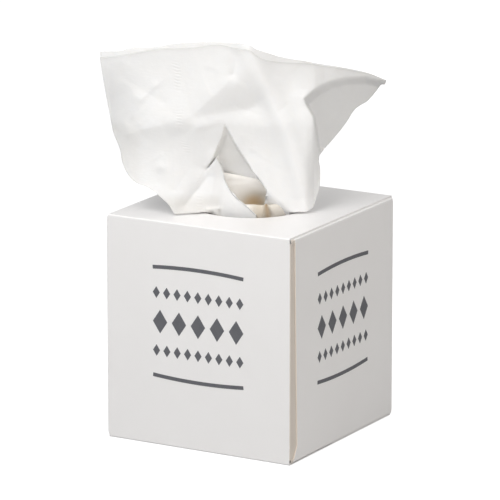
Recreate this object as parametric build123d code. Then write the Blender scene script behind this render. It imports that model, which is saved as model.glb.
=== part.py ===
"""Cube tissue box: a folded board carton with a round opening, its clip of tissues and one raised tissue.

Millimetres, +Z up, origin at the middle of the base. The front wall faces -Y and the right one +X.
The carton is one die-cut sheet of board, and its walls, flaps and glue seam are bands folded along a path.
The raised tissue is one sheet, with its outline and folds set as seen from the front right.
"""

import math
import os

from build123d import *

# Carton, outside sizes
WIDTH = 110.0
DEPTH = 110.0
HEIGHT = 120.0

# Board and its folds
BOARD = 0.5
FOLD_RADIUS = 0.6
CORNER_RELIEF = 0.5
HINGE_RUN = 1.0
FLAP_TAPER = 6.0

# Flaps, measured from the fold
TOP_DUST_FLAP = 22.0
BASE_DUST_FLAP = 40.0
BASE_INNER_FLAP = 65.0
PANEL_MARGIN = 0.4

# Glue seam at the near right corner
GLUE_FLAP = 15.0
SEAM_TOP = 3.6
SEAM_BASE = 6.4
SEAM_TAIL = 1.2
SEAM_TAIL_HEIGHT = 9.0
SEAM_LIFT = 0.3
SEAM_LIFT_LENGTH = 8.0

# Round opening in the top
OPENING_RADIUS = 30.0
INNER_OPENING_MARGIN = 1.0

# Clip of tissues, bent in an arch inside the carton
CLIP_CLEARANCE = 1.0
CLIP_HEADROOM = 14.0
CLIP_SHOULDER = 34.0
CLIP_GAP = 16.0
CLIP_THICKNESS = 42.0

# Tissue sheets
SHEET = 0.5
SHEET_CLEARANCE = 0.45
FAN_TURN = 30.0
EYE_ACROSS = -7.6
EYE_AWAY = 2427.8
EYE_RISE = 584.9
COLUMNS = 46
ROWS = 18

# Ink on the walls
INK = 0.08
RULE_LENGTH = 54.0
RULE_THICKNESS = 2.0
RULE_BOW = 1.2
RULE_RISE = 28.8
PRINT_HEIGHT = 66.5
LOZENGE_ROWS = ((15.5, 9, 4.2, 6.2), (0.0, 5, 8.6, 12.6), (-15.5, 9, 4.2, 6.2))

# Raised tissue: outlines as seen from the front right, (across, height above the carton)
TOP_EDGE = [(-78.8, 81.3), (-67.4, 81.9), (-63.2, 83.2), (-48.4, 84.0), (-41.0, 85.3), (-25.2, 86.4),
            (-10.9, 86.0), (0.3, 84.6), (2.6, 82.8), (8.8, 80.8), (16.0, 78.5), (28.5, 76.5), (39.7, 74.5),
            (50.9, 72.5), (62.2, 69.9), (70.5, 66.6)]
LEFT_EDGE = [(-78.8, 81.3), (-77.6, 72.4), (-75.5, 59.4), (-73.5, 48.6), (-71.9, 40.2), (-68.6, 31.1),
             (-67.3, 24.0), (-65.2, 18.5), (-62.6, 14.8), (-59.5, 12.1), (-54.1, 9.8), (-48.7, 5.7),
             (-42.9, -0.1), (-41.1, -3.3), (-39.2, -5.9)]
RIGHT_EDGE = [(70.5, 66.6), (69.5, 64.3), (67.8, 64.2), (65.1, 60.7), (60.6, 55.5), (56.6, 53.0),
              (53.8, 50.6), (50.4, 45.2), (47.8, 41.4), (42.0, 34.1), (35.5, 25.9), (36.1, 19.4),
              (35.9, 9.9), (34.4, 4.7), (32.6, -1.5)]
BASE_EDGE = [(-39.2, -5.9), (-30.9, -5.4), (-22.6, -2.0), (-18.3, -1.6), (-14.6, -3.4), (-8.4, -4.5),
             (-1.9, -6.2), (4.7, -6.4), (8.9, -6.4), (15.1, -5.6), (21.4, -5.1), (25.6, -4.6),
             (29.7, -3.5), (32.6, -1.5)]

# How far out the sheet stands, as (across, out), at three heights
TOP_PLAN = [(-79, 3), (-70, 9), (-58, 13), (-45, 16), (-20, 18.5), (-3, 19), (10, 16), (27, 12),
            (40, 5), (52, -6), (62, -18), (71, -31)]
MIDDLE_PLAN = [(-73, -4), (-69, 2), (-64, 10), (-55, 15), (-42, 18), (-30, 19.5), (-12, 20), (3, 20.5),
               (16, 20.5), (26, 20), (31, 18), (34, 13.5), (37, 4), (50, -12), (60, -22)]
BASE_PLAN = [(-40, 26), (-31, 24.5), (-23, 22.5), (-15, 22), (-8, 23.5), (-2, 27), (5, 29), (9, 29),
             (15, 28), (21, 27), (26, 25), (30, 21), (33, 13)]
PLAN_HEIGHTS = (80.0, 40.0, 1.0)
BASE_POWER = 2.2

# Folds of the raised tissue: from, to, rise of the crest at each end, its width on the upper or right side
# and on the other side, and how crisp it is
FOLDS = [
    ((-63.5, 38), (-31, 47), 4.2, 3.0, 15, 13, 1.35),
    ((-31, 47.5), (-8.5, 68), 2.4, 3.2, 12, 8, 1.35),
    ((-29, 46.8), (3, 52), -0.8, -1.2, 6, 4, 1.6),
    ((-0.5, 80), (16, 43), 3.0, 4.2, 15, 4.5, 1.3),
    ((17.5, 43), (30, -2), 3.2, 2.0, 16, 4.5, 1.3),
    ((-74, 56), (-69, 36), -1.2, -3.0, 7, 4, 1.6),
    ((-7.3, 79), (-9, 69.5), -1.2, -1.8, 4, 3, 1.6),
    ((-22.5, 15), (-34.3, 0), -2.0, -2.6, 5, 3, 1.3),
    ((-18.6, 24.8), (-20, 6), 2.0, 1.0, 4, 4, 1.6),
    ((27, 57), (36, 64.5), 1.2, 1.0, 6, 2, 1.6),
]

# Tent-shaped pocket in the front: its outline, and how far out its back stands, as (height, out)
POCKET = [(-13.4, 40.8), (-7.3, 31.0), (0.5, 19.4), (8.3, 10.5), (15.3, 3.3), (22.3, -3.9), (10, -14),
          (-3, -14), (-3.0, -1.1), (-9.1, 5.1), (-12.5, 10.5), (-14.5, 16.0), (-16.0, 21.2),
          (-18.6, 24.8), (-20.8, 20.3), (-23.2, 16.4), (-23.9, 17.2), (-19.0, 28.8)]
POCKET_BACK = [(-16, -12), (0, -11), (8, -8), (14, -3), (19, 3), (26, 10), (41, 15)]
POCKET_WALL = 3.0

# Wing that folds away behind the front: the fold's edge, the arc above it, and the wing's own slant
WING_EDGE = [(26.9, 57.1), (29.1, 52.3), (32.5, 46.0), (33.9, 37.2), (35.4, 26.5), (35.5, 24.0)]
WING_ARC = [(26.9, 57.1), (32.5, 62.0), (40.3, 66.4), (49.8, 68.6), (60.1, 69.0), (72.0, 66.0)]
WING_OUT = 12.5
WING_TURN = -0.97
WING_LEAN = 0.36
WING_FAR = [(75, 60), (60, 20), (36, 20)]
WING_WALL = 3.0
WING_BEND = 5.0

# Neck of the raised tissue below the rim: largest radius, share of the way down to the clip
RIM_LIFT = 1.5
NECK = ((28.4, 0.06), (27.0, 0.25), (24.0, 0.6), (20.0, 1.0))

# Next tissue, drawn up in the pocket: rows over its fold, down the hollow and over its front lip, as
# (out, height above the carton, left end, right end)
NEXT_ROWS = [
    (-4.0, -15.05, 3.0, 8.0),
    (-3.0, 0.0, 1.0, 7.5),
    (1.0, 9.5, -4.0, 4.5),
    (6.5, 17.5, -10.4, -2.5),
    (8.6, 19.8, -11.3, -4.5),
    (10.4, 18.4, -11.0, -3.8),
    (9.6, 12.0, -7.4, 2.5),
    (8.0, 5.0, -2.6, 7.0),
    (7.0, -2.0, 0.6, 11.0),
    (10.0, -7.5, 0.5, 14.0),
    (16.5, -5.0, 0.8, 14.5),
    (20.5, 1.5, 0.8, 14.5),
    (23.8, 3.2, 0.8, 14.5),
    (25.2, 0.5, 0.8, 14.5),
    (24.6, -4.0, 0.8, 14.0),
    (21.0, -9.5, 0.8, 12.5),
    (17.5, -15.05, 1.0, 11.0),
]
NEXT_COLUMNS = 12
LIP_START = 8.6
LIP_RUN = 13.0
LIP_EASE = 1.2
LIP_RISE = 5.0
LIP_OUT = 18.0
LIP_LEVEL = -1.0

HALF_WIDTH = WIDTH / 2
HALF_DEPTH = DEPTH / 2
HALF_BOARD = BOARD / 2
OUTER_RADIUS = FOLD_RADIUS + HALF_BOARD
SLEEVE_END = 2 * BOARD + OUTER_RADIUS + HINGE_RUN
FLOOR = 3 * BOARD
CEILING = HEIGHT - 3 * BOARD
CLIP_TOP = CEILING - CLIP_HEADROOM
MIDDLE = Plane.XY.offset(HEIGHT / 2)


def board_band(path, plane, length):
    """A band of board that follows a path across the plane, as long as given along the plane's normal."""
    return extrude(plane * trace(path, BOARD), length)


def sleeve():
    """The four walls with the glue flap under the right wall's raw edge."""
    flap_x = HALF_WIDTH - BOARD - HALF_BOARD
    wall_x = HALF_WIDTH - HALF_BOARD
    wall_y = HALF_DEPTH - HALF_BOARD
    lift_start = -HALF_DEPTH + SEAM_TAIL + SEAM_LIFT_LENGTH
    path = FilletPolyline(
        (flap_x, -HALF_DEPTH + GLUE_FLAP),
        (flap_x, -wall_y),
        (-wall_x, -wall_y),
        (-wall_x, wall_y),
        (wall_x, wall_y),
        (wall_x, lift_start),
        radius=[FOLD_RADIUS] * 4,
    )
    raw_edge = Line((wall_x, lift_start), (wall_x + SEAM_LIFT, -HALF_DEPTH + SEAM_TAIL))
    length = HEIGHT - 2 * SLEEVE_END
    base = Plane.XY.offset(SLEEVE_END)
    return board_band(path, base, length) + board_band(raw_edge, base, length)


def seam_cut():
    """What is trimmed off the right wall in front of its slanting raw edge."""
    front = -HALF_DEPTH
    outline = Polyline(
        (front - 1, 0),
        (front + SEAM_TAIL, 0),
        (front + SEAM_BASE, SEAM_TAIL_HEIGHT),
        (front + SEAM_TOP, HEIGHT),
        (front - 1, HEIGHT),
        close=True,
    )
    return extrude(Plane.YZ.offset(HALF_WIDTH - BOARD) * make_face(outline), 2 * BOARD + SEAM_LIFT)


def hinged_flap(reach, half_span, layer, length, taper=0.0):
    """A flap folded in from a wall that faces -Y; layer 0 is outermost."""
    wall = -reach + HALF_BOARD
    rise = HEIGHT - layer * BOARD - HALF_BOARD
    path = FilletPolyline(
        (wall, HEIGHT - SLEEVE_END),
        (wall, rise),
        (-reach + length, rise),
        radius=FOLD_RADIUS,
    )
    flap = board_band(path, Plane.YZ.offset(-half_span), 2 * half_span)
    if taper:
        tips = flap.edges().filter_by(Axis.Z).group_by(Axis.Y)[-1]
        flap = chamfer(tips, taper)
    return flap


def flap_set(inner_length, dust_length):
    """The front panel over the back flap over two dust flaps, as they close the top."""
    across = HALF_WIDTH - BOARD - CORNER_RELIEF
    along = HALF_DEPTH - BOARD - CORNER_RELIEF
    front = hinged_flap(HALF_DEPTH, across, 0, DEPTH - PANEL_MARGIN)
    back = Rot(0, 0, 180) * hinged_flap(HALF_DEPTH, across, 1, inner_length)
    side = hinged_flap(HALF_WIDTH, along, 2, dust_length, FLAP_TAPER)
    return [front, back, Rot(0, 0, 90) * side, Rot(0, 0, -90) * side]


def make_carton():
    """The folded and glued board, with its round opening."""
    top = flap_set(DEPTH - BOARD - PANEL_MARGIN, TOP_DUST_FLAP)
    base = [mirror(flap, about=MIDDLE) for flap in flap_set(BASE_INNER_FLAP, BASE_DUST_FLAP)]
    carton = sleeve() - seam_cut()
    for flap in top + base:
        carton += flap
    outer_level = HEIGHT - BOARD
    cutter = Pos(0, 0, outer_level + HALF_BOARD) * Cylinder(OPENING_RADIUS, BOARD)
    inner_radius = OPENING_RADIUS + INNER_OPENING_MARGIN
    cutter += Pos(0, 0, outer_level - BOARD) * Cylinder(inner_radius, 2 * BOARD)
    return carton - cutter


def make_tissue_stack():
    """The clip of interfolded tissues, bent over so that both of its ends stand on the floor."""
    half = HALF_WIDTH - BOARD - CLIP_CLEARANCE
    length = DEPTH - 2 * (BOARD + CLIP_CLEARANCE)
    height = CLIP_TOP - FLOOR
    block = Pos(0, FLOOR + height / 2) * Rectangle(2 * half, height)
    block = fillet(block.vertices().group_by(Axis.Y)[-1], CLIP_SHOULDER)
    slot_height = height - CLIP_THICKNESS
    slot = Pos(0, FLOOR + slot_height / 2) * Rectangle(CLIP_GAP, slot_height)
    slot = fillet(slot.vertices().group_by(Axis.Y)[-1], CLIP_GAP * 0.49)
    return extrude(Plane.XZ * (block - slot), length / 2, both=True)


def smooth_step(t, span, low, high, leave, arrive):
    """A cubic between two values, with the slopes it leaves and arrives at."""
    start, end = 1 - 3 * t**2 + 2 * t**3, 3 * t**2 - 2 * t**3
    return start * low + end * high + span * (t * (1 - t) ** 2 * leave + t**2 * (t - 1) * arrive)


def smooth_line(points):
    """A smooth curve through hand-set points, as a function of the share of its length."""
    spans = [math.dist(a, b) for a, b in zip(points, points[1:])]
    marks = [sum(spans[:i]) for i in range(len(points))]

    def at(share):
        place = share * marks[-1]
        return tuple(level(list(zip(marks, values)), place) for values in zip(*points))

    return at


def ease(t):
    """0 to 1 with level ends."""
    t = min(max(t, 0.0), 1.0)
    return t * t * (3 - 2 * t)


def level(points, across):
    """The height of a smooth profile given as (across, height) points."""
    last = len(points) - 1
    place = min(max(across, points[0][0]), points[last][0])
    i = max(k for k in range(last) if points[k][0] <= place)
    slopes = []
    for k in (i, i + 1):
        before, after = points[max(k - 1, 0)], points[min(k + 1, last)]
        slopes.append((after[1] - before[1]) / (after[0] - before[0]))
    (a, low), (b, high) = points[i], points[i + 1]
    return smooth_step((place - a) / (b - a), b - a, low, high, *slopes)


def distance_to(line, place):
    """Distance from a place to a line of points."""
    distances = []
    for start, end in zip(line, line[1:]):
        along = (end[0] - start[0], end[1] - start[1])
        away = (place[0] - start[0], place[1] - start[1])
        share = (along[0] * away[0] + along[1] * away[1]) / (along[0] ** 2 + along[1] ** 2)
        share = min(max(share, 0.0), 1.0)
        distances.append(math.dist(away, (along[0] * share, along[1] * share)))
    return min(distances)


def within(outline, place):
    """True at a place inside a closed outline."""
    x, y = place
    inside = False
    for (x1, y1), (x2, y2) in zip(outline, outline[1:] + outline[:1]):
        if (y1 > y) != (y2 > y) and x < x1 + (x2 - x1) * (y - y1) / (y2 - y1):
            inside = not inside
    return inside


def fold_rise(fold, place):
    """Rise of one fold: a crest along a line that falls off at its own rate on each side."""
    start, end, first, last, above, below, crispness = fold
    length = math.dist(start, end)
    run, rise = (end[0] - start[0]) / length, (end[1] - start[1]) / length
    across, seen = place[0] - start[0], place[1] - start[1]
    along = across * run + seen * rise
    side = seen * run - across * rise
    past = max(0.0, -along, along - length)
    far = math.hypot(side / (above if side > 0 else below), past / (0.5 * (above + below)))
    share = min(max(along / length, 0.0), 1.0)
    return (first + (last - first) * share) * math.exp(-(far**crispness))


def standing_out(place):
    """How far the raised sheet stands out to the front at (across, height as seen)."""
    across, seen = place
    top, middle, base = PLAN_HEIGHTS
    if seen > middle:
        share = ease((seen - middle) / (top - middle))
        out = share * level(TOP_PLAN, across) + (1 - share) * level(MIDDLE_PLAN, across)
    else:
        share = min(1.0, (middle - seen) / (middle - base)) ** BASE_POWER
        out = share * level(BASE_PLAN, across) + (1 - share) * level(MIDDLE_PLAN, across)
    out += sum(fold_rise(fold, place) for fold in FOLDS)
    if within(WING_EDGE[::-1] + WING_ARC[1:] + WING_FAR, place):
        away = WING_OUT + WING_TURN * (across - WING_ARC[0][0]) + WING_LEAN * (seen - WING_ARC[0][1])
        past_edge = ease(distance_to(WING_EDGE, place) / WING_WALL)
        past_arc = ease(distance_to(WING_ARC, place) / WING_BEND)
        out += (away - out) * min(past_edge, past_arc)
    if within(POCKET, place):
        depth = ease(distance_to(POCKET + POCKET[:1], place) / POCKET_WALL)
        out += (level(POCKET_BACK, seen) - out) * depth
    return out


def in_fan(across, out, height):
    """A point of the raised sheet's own view, with its height above the carton, in the part's frame."""
    turn = math.radians(FAN_TURN)
    x = across * math.cos(turn) + out * math.sin(turn)
    y = across * math.sin(turn) - out * math.cos(turn)
    return Vector(x, y, HEIGHT + height)


def raised_column(share):
    """Points down the raised sheet, from its top edge to the clip."""
    top, base, left, right = (smooth_line(line) for line in (TOP_EDGE, BASE_EDGE, LEFT_EDGE, RIGHT_EDGE))
    column = []
    for row in range(ROWS):
        down = row / (ROWS - 1)
        seen = []
        for axis in (0, 1):
            ruled = (1 - down) * top(share)[axis] + down * base(share)[axis]
            ruled += (1 - share) * left(down)[axis] + share * right(down)[axis]
            ruled -= (1 - down) * ((1 - share) * TOP_EDGE[0][axis] + share * TOP_EDGE[-1][axis])
            ruled -= down * ((1 - share) * BASE_EDGE[0][axis] + share * BASE_EDGE[-1][axis])
            seen.append(ruled)
        out = standing_out(seen)
        nearer = out / EYE_AWAY
        across = seen[0] + (EYE_ACROSS - seen[0]) * nearer
        height = seen[1] + (EYE_RISE - seen[1]) * nearer
        if math.hypot(across, out) > NECK[0][0]:
            height = max(height, RIM_LIFT)
        column.append((across, out, height))
    across, out, start = column[-1]
    radius = math.hypot(across, out)
    foot = CLIP_TOP + SHEET_CLEARANCE - HEIGHT
    for limit, share_down in NECK:
        pull = min(1.0, limit / radius)
        column.append((across * pull, out * pull, start - share_down * (start - foot)))
    return [in_fan(*point) for point in column]


def facets(a, b, c, d, split):
    """Two flat triangles that fill a quad, split from a to c or from b to d."""
    halves = ((a, b, c), (a, c, d)) if split else ((a, b, d), (b, c, d))
    return [Face(Wire.make_polygon(half)) for half in halves]


def thin_sheet(columns):
    """A closed thin solid through a grid of points, creased along the shorter diagonal of each quad."""
    last_column, last_row = len(columns) - 1, len(columns[0]) - 1

    def normal(i, j):
        across = columns[min(i + 1, last_column)][j] - columns[max(i - 1, 0)][j]
        down = columns[i][min(j + 1, last_row)] - columns[i][max(j - 1, 0)]
        return across.cross(down).normalized()

    back = [
        [point - normal(i, j) * SHEET for j, point in enumerate(column)]
        for i, column in enumerate(columns)
    ]
    faces = []
    for i in range(last_column):
        for j in range(last_row):
            corners = ((i, j), (i + 1, j), (i + 1, j + 1), (i, j + 1))
            a, b, c, d = (columns[x][y] for x, y in corners)
            split = (c - a).length < (d - b).length
            for side in (columns, back):
                faces += facets(*(side[x][y] for x, y in corners), split)
    border = [(i, 0) for i in range(last_column)]
    border += [(last_column, j) for j in range(last_row)]
    border += [(i, last_row) for i in range(last_column, 0, -1)]
    border += [(0, j) for j in range(last_row, 0, -1)]
    for (i, j), (k, m) in zip(border, border[1:] + border[:1]):
        faces += facets(columns[i][j], columns[k][m], back[k][m], back[i][j], True)
    return Solid(Shell(faces))


def make_raised_tissue():
    """The sheet pulled half out of the clip: a fan gathered to a neck in the opening."""
    return thin_sheet([raised_column(i / (COLUMNS - 1)) for i in range(COLUMNS)])


def make_next_tissue():
    """The next sheet of the clip, its fold drawn up into the raised one's pocket and its lip at the rim."""
    foot = CLIP_TOP + SHEET_CLEARANCE - HEIGHT
    columns = []
    for i in range(NEXT_COLUMNS):
        share = i / (NEXT_COLUMNS - 1)
        column = []
        for out, height, left, right in NEXT_ROWS:
            across = left + share * (right - left)
            if out > LIP_OUT and height > LIP_LEVEL:
                higher = ease((across - LIP_START) / LIP_EASE)
                height += higher * LIP_RISE * (1 - (across - LIP_START) / LIP_RUN)
            column.append(in_fan(across, out, max(height, foot)))
        columns.append(column)
    return thin_sheet(columns)


def bowed_rule(bow):
    """A plain rule that bows by the given rise at its middle."""
    half = RULE_LENGTH / 2
    return trace(ThreePointArc((-half, 0), (0, bow), (half, 0)), RULE_THICKNESS)


def lozenge(width, height):
    """A plain upright lozenge."""
    corners = ((-width / 2, 0), (0, -height / 2), (width / 2, 0), (0, height / 2))
    return make_face(Polyline(*corners, close=True))


def print_fields(plane):
    """Two bowed rules with three rows of lozenges between them, as thin ink on a wall."""
    fields = [Pos(0, RULE_RISE) * bowed_rule(RULE_BOW), Pos(0, -RULE_RISE) * bowed_rule(-RULE_BOW)]
    for rise, count, width, height in LOZENGE_ROWS:
        pitch = (RULE_LENGTH - width) / (count - 1)
        for i in range(count):
            fields.append(Pos(-RULE_LENGTH / 2 + width / 2 + i * pitch, rise) * lozenge(width, height))
    return Compound(children=[extrude(plane * field, INK) for field in fields])


def front_plane():
    """The outside of the front wall, seen from the front."""
    return Plane((0, -HALF_DEPTH, PRINT_HEIGHT), x_dir=(1, 0, 0), z_dir=(0, -1, 0))


def side_plane():
    """The outside of the right wall, seen from the right."""
    return Plane((HALF_WIDTH, 0, PRINT_HEIGHT), x_dir=(0, 1, 0), z_dir=(1, 0, 0))


def main():
    """Write one STEP file for each piece."""
    os.makedirs("parts", exist_ok=True)
    pieces = {
        "carton": make_carton(),
        "tissue_stack": make_tissue_stack(),
        "raised_tissue": make_raised_tissue(),
        "next_tissue": make_next_tissue(),
        "front_print": print_fields(front_plane()),
        "side_print": print_fields(side_plane()),
    }
    for name, piece in pieces.items():
        export_step(piece, f"parts/{name}.step")


main()
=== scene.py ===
"""Looks of a cube tissue box: satin board, grey ink and a raised two-ply tissue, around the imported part.

Blender's own units are metres. The sizes below are in millimetres, as in the part, unless a comment says
otherwise, and MM turns them into metres.
"""

import math

import bpy
import numpy as np
from mathutils import Matrix, Vector


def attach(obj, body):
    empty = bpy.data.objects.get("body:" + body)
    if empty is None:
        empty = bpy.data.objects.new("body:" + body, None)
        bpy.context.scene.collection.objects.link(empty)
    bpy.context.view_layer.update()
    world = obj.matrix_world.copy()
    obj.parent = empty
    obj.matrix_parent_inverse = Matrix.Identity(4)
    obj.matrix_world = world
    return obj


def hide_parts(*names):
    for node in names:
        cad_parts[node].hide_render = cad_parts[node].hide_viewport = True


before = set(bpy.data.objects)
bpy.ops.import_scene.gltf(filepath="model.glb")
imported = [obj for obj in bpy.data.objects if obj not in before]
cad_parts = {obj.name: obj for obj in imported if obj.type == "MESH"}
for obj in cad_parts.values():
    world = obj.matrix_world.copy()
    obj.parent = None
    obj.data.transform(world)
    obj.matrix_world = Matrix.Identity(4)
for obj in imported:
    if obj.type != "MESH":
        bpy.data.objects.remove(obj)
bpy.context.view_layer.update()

MM = 0.001

# Camera, fitted to the carton's corners in the photograph: degrees, metres, and the lens in its own
# millimetres
CAMERA_TURN = 29.83
CAMERA_RISE = 14.09
CAMERA_DISTANCE = 2.5118
CAMERA_RIGHT = -0.00054
CAMERA_UP = 0.03446
AIM_HEIGHT = 0.060
LENS = 344.4

# Light, in metres and watts: the world's level and how much fuller it is from one side, the floor, and
# the soft boxes as (name, place, target, size, power, colour)
LIGHT_FROM = (-0.25, -0.88, 0.4)
WORLD_LEVEL = 0.51
WORLD_LEAN = 0.13
FLOOR_SIZE = 12.0
FLOOR_GREY = (0.45, 0.45, 0.45)
FLOOR_GLOW = 0.8
LAMPS = [
    ("key", (-0.03, -0.5, 0.64), (0, 0, 0.13), 0.4, 2.7, (1.0, 0.995, 0.99)),
    ("fill", (0.95, -0.35, 0.6), (0, 0, 0.12), 0.8, 3.3, (1.0, 0.94, 0.87)),
    ("back", (-0.3, 1.0, 0.04), (0, 0, 0.05), 0.12, 1.2, (1.0, 1.0, 1.0)),
]

# Carton, as in the part: its height, front wall and opening, and the edge of the right wall beside the
# glue flap, as (height, how far from the front wall)
HEIGHT = 120.0
BOARD = 0.5
WALL_Y = 55.0
OPENING_RADIUS = 30.0
INNER_OPENING_RADIUS = 31.0
SEAM_EDGE = ((0.0, 1.2), (9.0, 6.4), (120.0, 3.6))

# Board's colours, and tints by which bare fibre is warmer than the coat; the glue flap's strip also carries
# painted shade, and the cut edge beside it a painted highlight
BOARD_WHITE = (0.91, 0.905, 0.905)
MOTTLE_TINT = (0.965, 0.96, 0.957)
FIBRE_TINT = (0.985, 0.98, 0.975)
FLAP_FIBRE_AND_SHADE_TINT = (0.79, 0.73, 0.66)
CUT_EDGE_FIBRE_AND_LIGHT_TINT = (1.07, 0.99, 0.9)
BARE_TINT = (0.97, 0.89, 0.79)

# Where bare fibre shows: the face that the glue flap lies behind, the flap's strip, with painted shade, and
# the cut edge beside it, with a painted highlight, as (from, to) past the seam's edge, how close to a face
# still counts, and how far the inside reaches
FLAP_FACE = 54.1
FLAP_STRIP = (-6.2, -0.06)
CUT_STRIP = (-0.06, 0.5)
NEAR = 0.05
INSIDE_REACH = 53.5

# Ink's colour and tints
INK_GREY = (0.155, 0.158, 0.17)
INK_CLOUD_TINT = (0.78, 0.79, 0.82)
INK_SPECK_TINT = (0.8, 0.8, 0.82)

# Tissue's colours, plain and embossed, and its tints: fibre, one layer of sheet, painted shade along its top
# edge, and painted shade in the pocket, along the left border and at the foot
TISSUE_WHITE = (0.865, 0.865, 0.86)
TISSUE_FIBRE_TINT = (0.965, 0.965, 0.963)
EMBOSSED_WHITE = (0.905, 0.905, 0.902)
EMBOSSED_FIBRE_TINT = (0.965, 0.965, 0.965)
SINGLE_TINT = (0.945, 0.945, 0.945)
EDGE_SHADE_TINT = (0.8, 0.8, 0.79)
PAINTED_SHADE_TINT = (0.88, 0.868, 0.845)

# Colours of painted shade on the tissue in the hollow and on its lip, from its outer fold to its deepest
# place, as (share, colour)
HOLLOW_SHADE_COLORS = ((0.0, (0.84, 0.815, 0.78)), (0.5, (0.66, 0.61, 0.535)), (1.0, (0.60, 0.44, 0.27)))

# Embossed marks: half the column's width, how far it wavers, the marks' pitch, how much it varies, in
# radians, and the noise level at which a cluster starts and how fast it fills
CRIMP_HALF = 1.9
CRIMP_WAVER = 3.0
CRIMP_PITCH = 1.65
CRIMP_UNEVEN = 9.0
CLUSTER_LEVEL = 0.44
CLUSTER_GAIN = 9.0

# Clip of tissues below the opening: half width, length, feet and corners, as in the part, how far in and
# down the innermost layer lies, how the corners tighten towards it, and the layers' count, thickness, dip
# and uneven ends
CLIP_HALF = 53.5
CLIP_LENGTH = 107.0
CLIP_FOOT = -118.5
CLIP_CORNER = 34.0
CLIP_DEPTH = (45.5, 42.0)
CORNER_LOSS = 30.0
LEAST_CORNER = 6.0
CLIP_LAYERS = 28
LAYER_WALL = 0.9
LAYER_DIP = 0.12
RAGGED = 0.9

# Raised tissue: outlines as seen in the photograph, (across, height above the carton)
BACK_TOP_EDGE = [(-78.8, 81.3), (-67.4, 81.9), (-63.2, 83.2), (-48.4, 84.0), (-41.0, 85.3), (-25.2, 86.4),
                 (-10.9, 86.0), (0.3, 84.6), (2.6, 82.8), (8.8, 80.8), (16.0, 78.5), (28.5, 76.5),
                 (39.7, 74.5), (50.9, 72.5), (62.2, 69.9), (70.5, 66.6)]
FRONT_TOP_EDGE = [(-78.3, 78.5), (-67.5, 79.7), (-56.9, 81.6), (-49.5, 82.9), (-43.1, 83.3), (-30.5, 83.6),
                  (-17.8, 85.1), (-7.2, 83.2), (-0.5, 82.0), (2.6, 79.7), (6.5, 77.4), (15.0, 75.9),
                  (28.5, 75.2), (39.7, 73.6), (50.9, 71.8), (62.2, 69.4), (70.3, 66.3)]
LEFT_EDGE = [(-78.8, 81.3), (-77.6, 72.4), (-75.5, 59.4), (-73.5, 48.6), (-71.9, 40.2), (-68.6, 31.1),
             (-67.3, 24.0), (-65.2, 18.5), (-62.6, 14.8), (-59.5, 12.1), (-54.1, 9.8), (-48.7, 5.7),
             (-42.9, -0.1), (-41.1, -3.3), (-39.2, -5.9)]
RIGHT_EDGE = [(70.5, 66.6), (69.5, 64.3), (67.8, 64.2), (65.1, 60.7), (60.6, 55.5), (56.6, 53.0),
              (53.8, 50.6), (50.4, 45.2), (47.8, 41.4), (42.0, 34.1), (35.5, 25.9), (36.1, 19.4),
              (35.9, 9.9), (34.4, 4.7), (32.6, -1.5)]
BASE_EDGE = [(-39.2, -5.9), (-30.9, -5.4), (-26.5, -5.0), (-24.0, -4.2), (-20.6, -3.3), (-17.8, -2.8),
             (-15.8, -4.2), (-13.5, -5.2), (-8.4, -5.8), (-1.9, -6.4), (4.7, -6.4), (8.9, -6.4),
             (15.1, -5.6), (21.4, -5.1), (25.6, -4.6), (29.7, -3.5), (32.6, -1.5)]

# How far out the sheet stands, as (across, out), at three heights
TOP_PLAN = [(-79, 4), (-70, 9), (-58, 13), (-45, 16), (-20, 18.5), (-3, 19.4), (8, 17), (16, 14),
            (24, 10.4), (32, 6), (40, 0.8), (48, -4.6), (55, -9.8), (62, -15.5), (71, -24.5)]
MIDDLE_PLAN = [(-73, 1), (-69, 5), (-64, 9.5), (-55, 14.5), (-42, 18), (-30, 19.5), (-12, 20), (3, 19.8),
               (16, 19.0), (24, 19.8), (30, 20.0), (33, 18.6), (35.5, 14.6), (40, 8), (50, -3), (60, -12)]
BASE_PLAN = [(-40, 25), (-31, 22.6), (-23, 20.6), (-15, 20.8), (-8, 23.4), (-2, 24.9), (5, 25.4),
             (10, 23.8), (15, 22.4), (21, 21.2), (26, 19.8), (30, 17.2), (33, 12)]
BASE_POWER = 1.7
PLAN_HEIGHTS = (80.0, 40.0, 1.0)

# Bent ridges, as the lengths of one crest: from, to, rise of the crest at each end, width above or right
# of it, width below or left of it, crispness
RIDGES = [
    [((-63.5, 38), (-31, 47), 4.2, 3.4, 14, 12, 1.4), ((-31, 47), (-8.5, 68), 3.4, 3.0, 12, 12, 1.4)],
    [((0.5, 80), (17, 43), 2.2, 2.8, 30, 5.5, 1.5), ((17, 43), (30, -2), 2.8, 1.8, 34, 5.5, 1.5)],
    [((-0.5, 82), (17, 43), 1.1, 1.6, 5.0, 6.0, 2.0), ((17, 43), (31, -2), 1.6, 1.5, 5.0, 6.0, 2.0)],
]

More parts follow.
